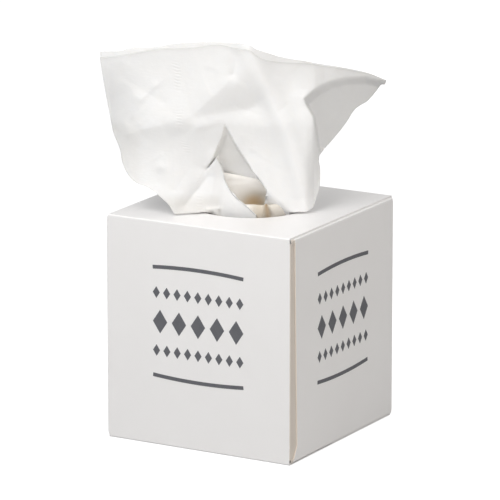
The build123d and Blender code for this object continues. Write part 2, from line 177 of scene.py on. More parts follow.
# Straight folds, each in the same order
FOLDS = [
    ((-29, 46.8), (3, 52), -0.8, -1.2, 6, 4, 1.6),
    ((-30, 42.5), (12, 42), 0.7, 0.8, 5, 9, 1.8),
    ((-23.5, 19), (-14, 39), -1.6, -0.6, 4.5, 1.5, 1.4),
    ((-74, 56), (-69, 36), -0.5, -1.2, 7, 4, 1.6),
    ((-66, 58), (-62, 46), -0.4, -0.5, 5, 5, 1.8),
    ((-61.2, 48.5), (-57.0, 56.0), 0.25, 0.4, 3, 1.4, 1.6),
    ((-57.0, 56.0), (-49.8, 63.3), 0.4, 0.3, 3, 1.4, 1.6),
    ((-49.8, 63.3), (-43.6, 67.8), 0.3, 0.15, 3, 1.4, 1.6),
    ((-46.5, 20), (-45.5, 19.8), 0.7, 0.7, 3, 3, 1.8),
    ((-23, -2.8), (-17, -2.2), 0.9, 1.0, 1.1, 1.3, 1.8),
    ((-7.3, 79), (-9, 69.5), -1.2, -1.8, 4, 3, 1.6),
    ((-22.5, 15), (-34.3, 0), -2.0, -2.6, 5, 3, 1.3),
    ((-18.6, 24.8), (-20, 6), 2.0, 1.0, 4, 4, 1.6),
    ((24, 58), (27, 57), 0.4, 0.5, 4, 3, 1.6),
    ((27, 57), (36, 64.5), 0.5, 0.4, 6, 2, 1.6),
    ((36, 64.5), (50, 69), 0.4, 0.1, 6, 2, 1.6),
]

# Small crumples all over: how many, the ranges of their place across and up, length, rise and half width,
# and their crispness
CRUMPLE_COUNT = 90
CRUMPLE_ACROSS = (-76, 66)
CRUMPLE_UP = (2, 82)
CRUMPLE_LENGTH = (6.0, 26.0)
CRUMPLE_RISE = 0.35
CRUMPLE_WIDTH = (1.2, 4.5)
CRUMPLE_CRISPNESS = 1.4

# Tent-shaped pocket in the front: its outline from the tip down the crisp right edge, under the rim, and
# up the front layer and the narrow slot behind it; the soft fold that closes it on the left, with the
# fold's width at two heights; and the pocket's depth, as (height, depth), its lean, and the slot's depth,
# as (across, depth)
POCKET = [(-13.8, 43.6), (-7.0, 30.6), (1.5, 17.3), (4.4, 13.7), (8.4, 7.2), (7.8, 3.6), (7.2, 0.0),
          (7.2, -6.4), (7.2, -14), (3.2, -14), (2.6, -5.4), (-1.2, -1.7), (-6.6, 2.6), (-10.7, 7.2),
          (-13.3, 12.0), (-14.7, 17.3), (-16.0, 21.6), (-17.9, 24.6), (-21.2, 20.3), (-24.4, 17.2),
          (-22.2, 21.5), (-20.0, 26.0), (-17.5, 32.0), (-15.2, 37.0)]
SOFT_FOLD = [(-24.4, 17.2), (-22.2, 21.5), (-20.0, 26.0), (-17.5, 32.0), (-15.2, 37.0), (-13.8, 43.6)]
SOFT_WIDTH = (0.8, 3.0)
SOFT_HEIGHTS = (18.0, 32.0)
POCKET_DEPTH = [(-16, 32), (0, 25), (8, 13.5), (15, 7.6), (22, 4.0), (30, 2.4), (41, 1.2)]
POCKET_LEAN = 0.3
SLOT_DEPTH = [(-24, 1.5), (-17, 5.0), (3, 75.0)]
POCKET_RIGHT = POCKET[:5]
POCKET_CRISP = POCKET[:20]

# Layer beside the pocket that sinks towards the opening: its fold, its far corners, how deep and over
# what width
SHELF_FOLD = [(4.4, 13.7), (8.4, 9.0), (13.1, 4.2), (16.6, 1.2), (21.8, -4.1), (25, -14)]
SHELF_CORNERS = [(7.2, -14), (7.2, 0.0), (8.4, 7.2)]
SHELF_DEPTH = 4.6
SHELF_WIDTH = 7.0

# Wing that folds away behind the front: the fold's edge, the arc above it, the corners beyond the sheet,
# the wing's own slant, its lowest place and how wide its soft bends are
WING_EDGE = [(26.9, 57.1), (29.1, 52.3), (32.5, 46.0), (33.9, 37.2), (35.4, 26.5), (35.5, 24.0)]
WING_ARC = [(26.9, 57.1), (32.5, 62.0), (40.3, 66.4), (49.8, 68.6), (60.1, 69.0), (72.0, 66.0)]
WING_CORNERS = [(75, 60), (60, 20), (36, 20)]
WING_OUT = 12.0
WING_TURN = -1.0
WING_LEAN = 0.36
WING_FOOT = 25.5
WING_BEND = 5.0

# Crisp folds that the grid's points move on to, from how close
SNAP_LINES = (POCKET[:18], POCKET[16:21], WING_EDGE)
SNAP_REACH = 0.3

# Painted shade, where less light comes through: in the pocket as (strength, height, run), and at the left
# border and the foot as (strength, across, run, height, run); each grows from its place over its run
POCKET_SHADE = (0.8, 14.0, 12.0)
BORDER_SHADE = (0.5, -54.0, -8.0, 52.0, -14.0)
FOOT_SHADE = (0.8, -14.0, -4.0, 7.0, -6.0)

# Next tissue, drawn up inside the pocket: rows from its foot, over its fold, down the hollow and over the
# front lip to its other foot, as (out, height, left end, right end); the grid's size; and how its fold
# slopes about a place
NEXT_ROWS = [(-3, -14, 1, 7), (-1, 0, -8, 7), (5, 9, -14, 6), (10.5, 16.5, -17, 4), (13, 18.2, -17.5, 4),
             (14.8, 18.6, -17.5, 4), (16, 17.8, -17.5, 5), (16.2, 16.4, -17, 6), (15.2, 13, -16, 8),
             (13.2, 8, -13, 9.4), (11, 3, -11, 9.2), (9.5, -2, -10, 8.4), (10.5, -6.5, -9, 8),
             (14, -8.5, -8, 8), (18.5, -6, -7, 8.2), (20.8, -1, -5, 10), (22.1, 3.2, -4, 18),
             (22.9, 5.0, -4, 22.4), (24.0, 5.4, -4, 22.6), (25.1, 4.6, -4, 22.6), (25.8, 1.7, -4, 22),
             (25.8, -2, -4, 21), (24.4, -7, -4, 19), (20.6, -12, -4, 17), (18, -14.5, -3, 14)]
NEXT_COLUMNS = 90
NEXT_DETAIL = 110
FOLD_SLOPE = 0.2
FOLD_PIVOT = -4.0

# Its lip: where it starts, the rim that it bends along, how it falls and tucks in at its ends, and its
# notch, as the place across at its top and foot and its half width there
LIP_FROM = 15.0
LIP_RUN = 7.0
LIP_RADIUS = 28.4
LIP_END = 15.5
LIP_FALL = 0.8
LIP_TUCK = 2.2
TUCK_FROM = 6.0
TUCK_RUN = 5.0
NOTCH = (7.4, 9.1, 0.5, 1.9)
NOTCH_TOP = 6.0
NOTCH_DEPTH = 3.0

# Its crease as (across, height), with its depth and half width; the centre of the painted shade in the
# hollow, with its reach, flatness and the sharpness of its border; and the lip's painted shade: its rise
# from the left, its fall further right and its gain in the notch
CREASE = [(-18, 11.0), (-12.4, 12.0), (-5.5, 12.6), (1.5, 14.0), (5, 15.0)]
CREASE_DEPTH = 0.6
CREASE_WIDTH = 0.9
HOLLOW = (1.6, 1.2)
HOLLOW_REACH = 7.5
HOLLOW_FLATNESS = 1.3
HOLLOW_BORDER = 2.2
LIP_SHADE = (0.58, -0.26, 0.25)

# Strip where the sheet lies double, as (across, height), and how far it reaches
DOUBLED_LINE = [(-3, 82), (11.5, 56), (17.5, 43), (24.5, 20), (31, -2)]
DOUBLED_REACH = 3.4

# Column of short embossed marks that bonds the plies, as (across, height)
CRIMP_LINE = [(-39.6, 82), (-38.4, 71), (-37.6, 61), (-37.1, 55.8), (-37.2, 39.4), (-32.9, 28.3),
              (-30.7, 23), (-29, 19.4), (-27, 14)]

# Below the rim: how high the sheet clears the rim, its neck, as (largest radius, share of the way down to
# the clip), the clip's top and the gap above it
RIM_LIFT = 1.1
NECK = ((28.6, 0.05), (27.0, 0.25), (24.0, 0.6), (20.0, 1.0))
CLIP_TOP = -15.5
SHEET_CLEARANCE = 0.45

# The sheet's own view: its turn in degrees, and the photograph's eye in it, as (across, out, height)
FAN_TURN = 30.0
EYE = (-7.6, 2427.8, 584.9)

# Plies: the grid's size, the width of a crisp fold, their thickness and gap, how far they part at the top
# and over what share of the sheet, and how strong the painted shade along the top edge is and over how many
# rows it fades
COLUMNS = 260
ROWS = 170
NECK_ROWS = 16
FOLD_EDGE = 0.6
PLY = 0.14
PLY_GAP = 0.25
TOP_GAP = 1.0
TOP_GAP_REACH = 0.05
EDGE_SHADE = {"front_ply": 1.0, "back_ply": 0.25}
EDGE_SHADE_ROWS = 1.2
FAR_FROM_CRIMP = 99.0


def smooth_line(points):
    """A smooth curve through given points, as a function of the share of its length."""
    points = np.array(points, float)
    marks = np.concatenate(([0.0], np.cumsum(np.linalg.norm(np.diff(points, axis=0), axis=1))))
    slopes = np.empty_like(points)
    slopes[1:-1] = (points[2:] - points[:-2]) / (marks[2:] - marks[:-2])[:, None]
    slopes[0] = (points[1] - points[0]) / (marks[1] - marks[0])
    slopes[-1] = (points[-1] - points[-2]) / (marks[-1] - marks[-2])

    def at(share):
        place = np.asarray(share, float) * marks[-1]
        i = np.clip(np.searchsorted(marks, place, side="right") - 1, 0, len(points) - 2)
        span = (marks[i + 1] - marks[i])[..., None]
        t = (place - marks[i])[..., None] / span
        near = (1 - 3 * t**2 + 2 * t**3) * points[i] + t * (1 - t) ** 2 * span * slopes[i]
        far = (3 * t**2 - 2 * t**3) * points[i + 1] + t**2 * (t - 1) * span * slopes[i + 1]
        return near + far

    return at


def ease(t):
    """0 to 1 with level ends."""
    t = np.clip(t, 0.0, 1.0)
    return t * t * (3 - 2 * t)


def level(points, across):
    """The height of a smooth profile given as (across, height) points."""
    points = np.array(points, float)
    slopes = np.gradient(points[:, 1], points[:, 0])
    place = np.clip(across, points[0, 0], points[-1, 0])
    i = np.clip(np.searchsorted(points[:, 0], place, side="right") - 1, 0, len(points) - 2)
    span = points[i + 1, 0] - points[i, 0]
    t = (place - points[i, 0]) / span
    near = (1 - 3 * t**2 + 2 * t**3) * points[i, 1] + t * (1 - t) ** 2 * span * slopes[i]
    return near + (3 * t**2 - 2 * t**3) * points[i + 1, 1] + t**2 * (t - 1) * span * slopes[i + 1]


def nearest(line, across, seen):
    """Distance from places to a line of points, and the nearest place on it."""
    far = np.full(across.shape, 1e9)
    at_x, at_y = across.copy(), seen.copy()
    for (x1, y1), (x2, y2) in zip(line, line[1:]):
        run, rise = x2 - x1, y2 - y1
        share = np.clip(((across - x1) * run + (seen - y1) * rise) / (run**2 + rise**2), 0.0, 1.0)
        x, y = x1 + run * share, y1 + rise * share
        away = np.hypot(across - x, seen - y)
        closer = away < far
        far, at_x, at_y = np.where(closer, away, far), np.where(closer, x, at_x), np.where(closer, y, at_y)
    return far, at_x, at_y


def within(outline, across, seen):
    """True at the places inside a closed outline."""
    inside = np.zeros(across.shape, bool)
    for (x1, y1), (x2, y2) in zip(outline, outline[1:] + outline[:1]):
        if y1 != y2:
            crossing = x1 + (x2 - x1) * (seen - y1) / (y2 - y1)
            inside ^= ((y1 > seen) != (y2 > seen)) & (across < crossing)
    return inside


def fold_rise(fold, across, seen):
    """Rise of one fold: a crest along a line that falls off at its own rate on each side."""
    (x1, y1), (x2, y2), first, last, above, below, crispness = fold
    run, rise = x2 - x1, y2 - y1
    length = math.hypot(run, rise)
    along = ((across - x1) * run + (seen - y1) * rise) / length
    side = ((seen - y1) * run - (across - x1) * rise) / length
    past = np.maximum(0.0, np.maximum(-along, along - length))
    width = np.where(side > 0, above, below)
    far = np.hypot(side / width, past / (0.5 * (above + below)))
    share = np.clip(along / length, 0.0, 1.0)
    return (first + (last - first) * share) * np.exp(-(far**crispness))


def small_crumples():
    """Short low folds that lie about the sheet in no order."""
    chance = np.random.default_rng(5)
    crumples = []
    for _ in range(CRUMPLE_COUNT):
        start = np.array([chance.uniform(*CRUMPLE_ACROSS), chance.uniform(*CRUMPLE_UP)])
        turn = chance.uniform(0, math.pi)
        end = start + chance.uniform(*CRUMPLE_LENGTH) * np.array([math.cos(turn), math.sin(turn)])
        rises = chance.uniform(-CRUMPLE_RISE, CRUMPLE_RISE, 2)
        widths = chance.uniform(*CRUMPLE_WIDTH, 2)
        crumples.append((tuple(start), tuple(end), *rises, *widths, CRUMPLE_CRISPNESS))
    return crumples


CRUMPLES = small_crumples()


def snapped(across, seen):
    """The places, with those beside a crisp fold moved on to it."""
    for line in SNAP_LINES:
        far, at_x, at_y = nearest(line, across, seen)
        close = far < SNAP_REACH
        across, seen = np.where(close, at_x, across), np.where(close, at_y, seen)
    return across, seen


def standing_out(across, seen):
    """How far the raised sheet stands out to the front at (across, height as seen)."""
    top, middle, base = PLAN_HEIGHTS
    high = level(MIDDLE_PLAN, across)
    share = ease((seen - middle) / (top - middle))
    out = share * level(TOP_PLAN, across) + (1 - share) * high
    share = (1 - np.clip((seen - base) / (middle - base), 0.0, 1.0)) ** BASE_POWER
    out = np.where(seen > middle, out, (1 - share) * high + share * level(BASE_PLAN, across))
    for ridge in RIDGES:
        out = out + np.maximum.reduce([fold_rise(fold, across, seen) for fold in ridge])
    for fold in FOLDS + CRUMPLES:
        out = out + fold_rise(fold, across, seen)
    wing = within(WING_EDGE[::-1] + WING_ARC[1:] + WING_CORNERS, across, seen)
    edge, arc = nearest(WING_EDGE, across, seen)[0], nearest(WING_ARC, across, seen)[0]
    away = WING_OUT + WING_TURN * (across - WING_ARC[0][0]) + WING_LEAN * (seen - WING_ARC[0][1])
    depth = np.where(wing, np.minimum(ease(edge / FOLD_EDGE), ease(arc / WING_BEND)), 0.0)
    out = out + (away - out) * depth * ease((seen - WING_FOOT) / WING_BEND)
    fold = nearest(SHELF_FOLD, across, seen)[0]
    shelf = within(SHELF_FOLD + SHELF_CORNERS, across, seen)
    out = out - np.where(shelf, SHELF_DEPTH * ease(fold / SHELF_WIDTH), 0.0)
    back = out - level(POCKET_DEPTH, seen) - POCKET_LEAN * nearest(POCKET_RIGHT, across, seen)[0]
    back = np.maximum(back, out - np.interp(across, *np.array(SLOT_DEPTH).T))
    crisp, soft = nearest(POCKET_CRISP, across, seen)[0], nearest(SOFT_FOLD, across, seen)[0]
    narrow, wide = SOFT_WIDTH
    low, high = SOFT_HEIGHTS
    width = narrow + (wide - narrow) * ease((seen - low) / (high - low))
    depth = np.minimum(ease(crisp / FOLD_EDGE), ease(soft / width))
    return out + (back - out) * np.where(within(POCKET, across, seen), depth, 0.0)


def from_eye(across, seen, out):
    """Places in the sheet's own view, moved towards the photograph's eye until they stand out enough."""
    share = out / EYE[1]
    return np.stack([across + (EYE[0] - across) * share, out, seen + (EYE[2] - seen) * share], axis=-1)


def painted_shade_share(across, height):
    """How much shade is painted on the sheet, in the pocket, along its left border and at its foot."""
    strength, start, run = POCKET_SHADE
    dims = [strength * within(POCKET, across, height) * ease((height - start) / run)]
    for strength, side, side_run, start, run in (BORDER_SHADE, FOOT_SHADE):
        dims.append(strength * ease((across - side) / side_run) * ease((height - start) / run))
    return np.maximum.reduce(dims)


def raised_grid(top_edge):
    """Points of one ply as columns by rows, as (across, out, height), and three marks at each.

    The marks say how far it is from the crimp line, how much the sheet lies double there, and how much shade
    is painted on it there.
    """
    share = np.linspace(0, 1, COLUMNS)
    down = np.linspace(0, 1, ROWS)
    top, base = smooth_line(top_edge)(share)[:, None], smooth_line(BASE_EDGE)(share)[:, None]
    left, right = smooth_line(LEFT_EDGE)(down)[None], smooth_line(RIGHT_EDGE)(down)[None]
    s, d = share[:, None, None], down[None, :, None]
    left = left + (1 - d) * (top[:1] - left[:, :1])
    right = right + (1 - d) * (top[-1:] - right[:, :1])
    seen = (1 - d) * top + d * base + (1 - s) * left + s * right
    seen = seen - (1 - d) * ((1 - s) * top[:1] + s * top[-1:]) - d * ((1 - s) * base[:1] + s * base[-1:])
    across, height = snapped(seen[..., 0], seen[..., 1])
    grid = from_eye(across, height, standing_out(across, height))
    radius = np.hypot(grid[..., 0], grid[..., 1])
    grid[..., 2] = np.where(radius > NECK[0][0], np.maximum(grid[..., 2], RIM_LIFT), grid[..., 2])
    crimp = across - level([(y, x) for x, y in CRIMP_LINE[::-1]], height)
    doubled = np.exp(-((nearest(DOUBLED_LINE, across, height)[0] / DOUBLED_REACH) ** 3))
    return grid, crimp, doubled, painted_shade_share(across, height)


def neck_rows(grid):
    """The rows that follow the grid below the rim, drawn in towards the clip."""
    across, out, start = grid[:, -1, 0], grid[:, -1, 1], grid[:, -1, 2]
    radius = np.hypot(across, out)
    foot = CLIP_TOP + SHEET_CLEARANCE
    marks = np.array([0.0] + [m for _, m in NECK])
    rows = []
    for way in np.linspace(0, 1, NECK_ROWS + 1)[1:]:
        limits = np.stack([radius] + [np.full_like(radius, limit) for limit, _ in NECK])
        limit = np.array([np.interp(way, marks, limits[:, k]) for k in range(len(radius))])
        pull = np.minimum(1.0, limit / radius)
        rows.append(np.stack([across * pull, out * pull, start - way * (start - foot)], axis=-1))
    return np.concatenate([grid, np.stack(rows, axis=1)], axis=1)


def in_fan(points):
    """Points of the sheet's own view, in the part's frame, in metres."""
    turn = math.radians(FAN_TURN)
    across, out, height = points[..., 0], points[..., 1], points[..., 2]
    x = across * math.cos(turn) + out * math.sin(turn)
    y = across * math.sin(turn) - out * math.cos(turn)
    return np.stack([x, y, HEIGHT + height], axis=-1) * MM


def behind_by(points, distance):
    """The grid moved behind its own face by a distance."""
    normal = np.cross(np.gradient(points, axis=0), np.gradient(points, axis=1))
    return points + normal / np.linalg.norm(normal, axis=-1, keepdims=True) * distance


def paper_sheet(name, points, thickness, marks):
    """A thin sheet through a grid of points, with its thickness behind its face and named marks."""
    columns, rows = points.shape[:2]
    bpy.ops.object.select_all(action="DESELECT")
    bpy.ops.mesh.primitive_grid_add(x_subdivisions=columns - 1, y_subdivisions=rows - 1, size=1.0)
    piece = bpy.context.object
    piece.name = name
    places = points[:, ::-1].transpose(1, 0, 2)
    piece.data.vertices.foreach_set("co", places.astype(np.float32).ravel())
    piece.data.update()
    for mark, values in marks.items():
        layer = piece.data.attributes.new(mark, "FLOAT", "POINT")
        layer.data.foreach_set("value", values[:, ::-1].T.astype(np.float32).ravel())
    wall = piece.modifiers.new("thickness", "SOLIDIFY")
    wall.thickness = thickness
    wall.offset = -1.0
    bpy.ops.object.modifier_apply(modifier=wall.name)
    bpy.ops.object.shade_smooth()
    return piece


def make_raised_tissue():
    """Both plies of the drawn-up tissue."""
    opened = TOP_GAP * np.exp(-np.linspace(0, 1, ROWS) / TOP_GAP_REACH)
    opened = np.pad(opened, (0, NECK_ROWS))[None, :, None]
    for name, top_edge, behind in (("front_ply", FRONT_TOP_EDGE, 0.0),
                                   ("back_ply", BACK_TOP_EDGE, PLY + PLY_GAP + opened)):
        grid, crimp, doubled, painted_shade = raised_grid(top_edge)
        crimp = np.pad(crimp, ((0, 0), (0, NECK_ROWS)), constant_values=FAR_FROM_CRIMP)
        doubled = np.pad(doubled, ((0, 0), (0, NECK_ROWS)))
        painted_shade = np.pad(painted_shade, ((0, 0), (0, NECK_ROWS)), mode="edge")
        # Painted shade of the gap between the plies along the top edge, strongest on the front ply, fading
        # over a few rows
        edge = np.zeros_like(crimp) + EDGE_SHADE[name] * np.exp(-np.arange(crimp.shape[1]) / EDGE_SHADE_ROWS)
        points = in_fan(neck_rows(grid))
        ply = paper_sheet(name, behind_by(points, behind * MM), PLY * MM,
                          {"crimp": crimp, "edge": edge, "doubled": doubled, "painted_shade": painted_shade})
        ply.data.materials.append(embossed_tissue)
        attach(ply, "root")
    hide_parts("raised_tissue")


def make_next_tissue():
    """The next sheet, its fold showing at the back of the pocket and its lip at the rim of the opening."""
    rows = np.array(NEXT_ROWS, float)
    line = smooth_line(rows)(np.linspace(0, 1, NEXT_DETAIL))
    share = np.linspace(0, 1, NEXT_COLUMNS)[:, None]
    across = line[:, 2] + share * (line[:, 3] - line[:, 2])
    out, height = line[None, :, 0] + 0 * across, line[None, :, 1] + 0 * across
    lip = ease((out - LIP_FROM) / LIP_RUN)
    height = height - FOLD_SLOPE * (across - FOLD_PIVOT) * ease((height - 6) / 8)
    height = height - lip * LIP_FALL * np.maximum(0.0, across - LIP_END) * ease((height + 3) / 4)
    out = out - lip * (LIP_RADIUS - np.sqrt(LIP_RADIUS**2 - across**2))
    out = out - lip * LIP_TUCK * ease((TUCK_FROM - across) / TUCK_RUN)
    top, foot, narrow, wide = NOTCH
    low = np.clip((NOTCH_TOP - height) / NOTCH_TOP, 0.0, 1.0)
    notch = np.exp(-(((across - top - (foot - top) * low) / (narrow + (wide - narrow) * low)) ** 2)) * lip
    out = out - NOTCH_DEPTH * notch
    seen = height - out * EYE[2] / EYE[1]
    crease = np.exp(-(((seen - level(CREASE, across)) / CREASE_WIDTH) ** 2))
    out = out - CREASE_DEPTH * crease * (1 - lip) * ease((height - 10) / 3)
    # Painted shade: warm and darker towards the deepest place of the hollow, and on the lip and in its notch
    hollow = np.hypot(across - HOLLOW[0], (seen - HOLLOW[1]) * HOLLOW_FLATNESS) / HOLLOW_REACH
    left, right, inward = LIP_SHADE
    on_lip = left * ease((across + 4) / 8) + right * ease((across - 8) / 3) + inward * notch
    shade = np.exp(-(hollow**HOLLOW_BORDER)) * (1 - lip) + lip * on_lip
    points = in_fan(np.stack([across, out, height], axis=-1))
    sheet = paper_sheet("next_sheet", points, PLY * 2 * MM, {"shade": shade})
    sheet.data.materials.append(painted_shade_tissue)
    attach(sheet, "root")
    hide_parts("next_tissue")


def make_clip():
    """The clip of tissues bent in an arch, as nested layers whose ends don't quite line up."""
    chance = np.random.default_rng(11)
    layers = []
    for k in range(CLIP_LAYERS):
        inset = k / CLIP_LAYERS
        half, top = CLIP_HALF - CLIP_DEPTH[0] * inset, CLIP_TOP - CLIP_DEPTH[1] * inset
        corner = max(CLIP_CORNER - CORNER_LOSS * inset, LEAST_CORNER)
        turn = np.linspace(0, math.pi / 2, 14)
        side = np.linspace(CLIP_FOOT, top - corner, 8)[:-1]
        across = np.linspace(0, half - corner, 9)[:-1]
        right_x = np.concatenate([across, half - corner + corner * np.sin(turn), np.full_like(side, half)])
        bend = top - corner + corner * np.cos(turn)
        right_z = np.concatenate([np.full_like(across, top), bend, side[::-1]])
        x = np.concatenate([-right_x[:0:-1], right_x])[:, None]
        z = np.concatenate([right_z[:0:-1], right_z])[:, None]
        ends = CLIP_LENGTH / 2 - chance.uniform(0, RAGGED, (x.shape[0] // 6 + 2, 2))
        place = np.linspace(0, len(ends) - 1, x.shape[0])
        front = np.interp(place, range(len(ends)), ends[:, 0])[:, None]
        back = np.interp(place, range(len(ends)), ends[:, 1])[:, None]
        share = np.linspace(0, 1, 26)[None]
        y = back - share * (back + front)
        dip = LAYER_DIP * (1 + np.sin(x / 9 + k) * np.sin(y / 14 + 2 * k))
        points = np.stack([x + 0 * y, y, HEIGHT + z - dip], axis=-1) * MM
        layers.append(paper_sheet(f"layer_{k}", points, LAYER_WALL * MM, {}))
    bpy.ops.object.select_all(action="DESELECT")
    for layer in layers:
        layer.select_set(True)
    bpy.context.view_layer.objects.active = layers[0]
    bpy.ops.object.join()
    clip = layers[0]
    clip.name = "tissue_clip"
    clip.data.materials.append(tissue)
    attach(clip, "root")
    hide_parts("tissue_stack")


def material(name, color, roughness):
    """A new principled material and its nodes."""
    made = bpy.data.materials.new(name)
    made.use_nodes = True
    shader = made.node_tree.nodes["Principled BSDF"]
    shader.inputs["Base Color"].default_value = (*color, 1.0)
    shader.inputs["Roughness"].default_value = roughness
    return made, made.node_tree.nodes, made.node_tree.links, shader


def bumped(nodes, links, shader, heights):
    """Adds bumps to a shader, one after another, from (socket, distance) pairs."""
    before = None
    for height, distance in heights:
        bump = nodes.new("ShaderNodeBump")
        bump.inputs["Distance"].default_value = distance
        links.new(height, bump.inputs["Height"])
        if before is not None:
            links.new(before.outputs["Normal"], bump.inputs["Normal"])
        before = bump
    links.new(before.outputs["Normal"], shader.inputs["Normal"])


def reckon(nodes, links, operation, first, second=0.0, third=0.0):
    """A maths node on sockets or numbers."""
    node = nodes.new("ShaderNodeMath")
    node.operation = operation
    for i, value in enumerate((first, second, third)):
        if isinstance(value, (int, float)):
            node.inputs[i].default_value = value
        else:
            links.new(value, node.inputs[i])
    return node.outputs[0]


def grain(nodes, links, place, scale, detail=3.0, stretch=(1.0, 1.0, 1.0)):
    """Fine noise on a place, drawn out along an axis."""
    mapping = nodes.new("ShaderNodeMapping")
    mapping.inputs["Scale"].default_value = stretch
    noise = nodes.new("ShaderNodeTexNoise")
    noise.inputs["Scale"].default_value = scale
    noise.inputs["Detail"].default_value = detail
    links.new(place, mapping.inputs["Vector"])
    links.new(mapping.outputs["Vector"], noise.inputs["Vector"])
    return noise.outputs["Fac"]


def marked(nodes, mark):
    """The value that a piece carries at each point under a name."""
    node = nodes.new("ShaderNodeAttribute")
    node.attribute_name = mark
    return node.outputs["Fac"]


def ranged(nodes, links, value, low, high):
    """1 where a value lies between two limits."""
    over = reckon(nodes, links, "GREATER_THAN", value, low)
    return reckon(nodes, links, "MULTIPLY", over, reckon(nodes, links, "LESS_THAN", value, high))


def tinted(nodes, links, color, share, tint):
    """A colour socket or value, multiplied by a tint where the share says."""
    mix = nodes.new("ShaderNodeMix")
    mix.data_type = "RGBA"
    mix.blend_type = "MULTIPLY"
    links.new(share, mix.inputs["Factor"])
    if isinstance(color, tuple):
        mix.inputs[6].default_value = (*color, 1.0)
    else:
        links.new(color, mix.inputs[6])
    mix.inputs[7].default_value = (*tint, 1.0)
    return mix.outputs[2]


def make_board():
    """Satin coated board: a faint mottle in the coat, warm bare fibre at cut edges and the glue seam,
    painted shade on the glue flap's strip and a painted highlight on the cut edge beside it.
    """
    made, nodes, links, shader = material("satin_board", BOARD_WHITE, 0.4)
    place = nodes.new("ShaderNodeTexCoord").outputs["Object"]
    axes = nodes.new("ShaderNodeSeparateXYZ")
    links.new(place, axes.inputs[0])
    x, y, z = axes.outputs
    mottle = grain(nodes, links, place, scale=38.0, detail=4.0)
    fibre = grain(nodes, links, place, scale=1500.0, detail=3.0)
    color = tinted(nodes, links, BOARD_WHITE, mottle, MOTTLE_TINT)
    color = tinted(nodes, links, color, fibre, FIBRE_TINT)

    widths = []
    for (low, start), (high, end) in zip(SEAM_EDGE, SEAM_EDGE[1:]):
        slope = (end - start) / (high - low)
        widths.append(reckon(nodes, links, "MULTIPLY_ADD", z, slope, (start - low * slope) * MM))
    past = reckon(nodes, links, "SUBTRACT", reckon(nodes, links, "ADD", y, WALL_Y * MM),
                  reckon(nodes, links, "MINIMUM", *widths))
    beside = reckon(nodes, links, "GREATER_THAN", x, FLAP_FACE * MM)
    # Painted shade on the glue flap's strip, and a painted highlight on the cut edge beside it, both over
    # warm fibre
    for (start, end), tint in ((FLAP_STRIP, FLAP_FIBRE_AND_SHADE_TINT), (CUT_STRIP, CUT_EDGE_FIBRE_AND_LIGHT_TINT)):
        strip = reckon(nodes, links, "MULTIPLY", beside, ranged(nodes, links, past, start * MM, end * MM))
        color = tinted(nodes, links, color, strip, tint)

    radius = reckon(nodes, links, "SQRT", reckon(nodes, links, "ADD", reckon(nodes, links, "MULTIPLY", x, x),
                                                 reckon(nodes, links, "MULTIPLY", y, y)))
    rim = reckon(nodes, links, "LESS_THAN", radius, (OPENING_RADIUS + NEAR) * MM)
    inner_rim = reckon(nodes, links, "LESS_THAN", radius, (INNER_OPENING_RADIUS + NEAR) * MM)
    below_top = reckon(nodes, links, "LESS_THAN", z, (HEIGHT - BOARD - 0.02) * MM)
    below_flaps = reckon(nodes, links, "LESS_THAN", z, (HEIGHT - 3 * BOARD + NEAR) * MM)
    bare = reckon(nodes, links, "MAXIMUM", rim, reckon(nodes, links, "MULTIPLY", inner_rim, below_top))
    within_walls = ranged(nodes, links, radius, 0.0, INSIDE_REACH * MM)
    inside = reckon(nodes, links, "MULTIPLY", below_flaps, within_walls)
    color = tinted(nodes, links, color, reckon(nodes, links, "MAXIMUM", bare, inside), BARE_TINT)
    links.new(color, shader.inputs["Base Color"])

    wear = grain(nodes, links, place, scale=110.0)
    links.new(reckon(nodes, links, "MULTIPLY_ADD", wear, 0.16, 0.32), shader.inputs["Roughness"])
    shader.inputs["Coat Weight"].default_value = 0.12
    shader.inputs["Coat Roughness"].default_value = 0.3
    bumped(nodes, links, shader, [(fibre, 0.00001), (grain(nodes, links, place, scale=240.0), 0.00002)])
    return made


def make_tissue_paper(name, embossed):
    """Soft matt white paper that lets light through, with crepe, and a column of short marks if embossed."""
    made, nodes, links, shader = material(name, TISSUE_WHITE, 0.9)
    shader.inputs["Subsurface Weight"].default_value = 0.5
    shader.inputs["Subsurface Radius"].default_value = (1.0, 0.97, 0.92)
    shader.inputs["Subsurface Scale"].default_value = 0.0001
    shader.inputs["Specular IOR Level"].default_value = 0.2
    place = nodes.new("ShaderNodeTexCoord").outputs["Object"]
    crepe = grain(nodes, links, place, scale=900.0, stretch=(0.35, 0.35, 1.0))
    fibre = grain(nodes, links, place, scale=260.0, detail=4.0)
    heights = [(crepe, 0.00006), (fibre, 0.00012)]
    if embossed:
        color = tinted(nodes, links, EMBOSSED_WHITE, fibre, EMBOSSED_FIBRE_TINT)
        single = reckon(nodes, links, "SUBTRACT", 1.0, marked(nodes, "doubled"))
        # Darker where the sheet lies single, painted shade along the top edge, and painted shade in the
        # pocket, at the left border and at the foot
        for share, tint in ((single, SINGLE_TINT), (marked(nodes, "edge"), EDGE_SHADE_TINT),
                            (marked(nodes, "painted_shade"), PAINTED_SHADE_TINT)):
            color = tinted(nodes, links, color, share, tint)
        heights.append((crimp_marks(nodes, links, place), 0.00005))
    else:
        color = tinted(nodes, links, TISSUE_WHITE, fibre, TISSUE_FIBRE_TINT)
    links.new(color, shader.inputs["Base Color"])
    bumped(nodes, links, shader, heights)
    return made


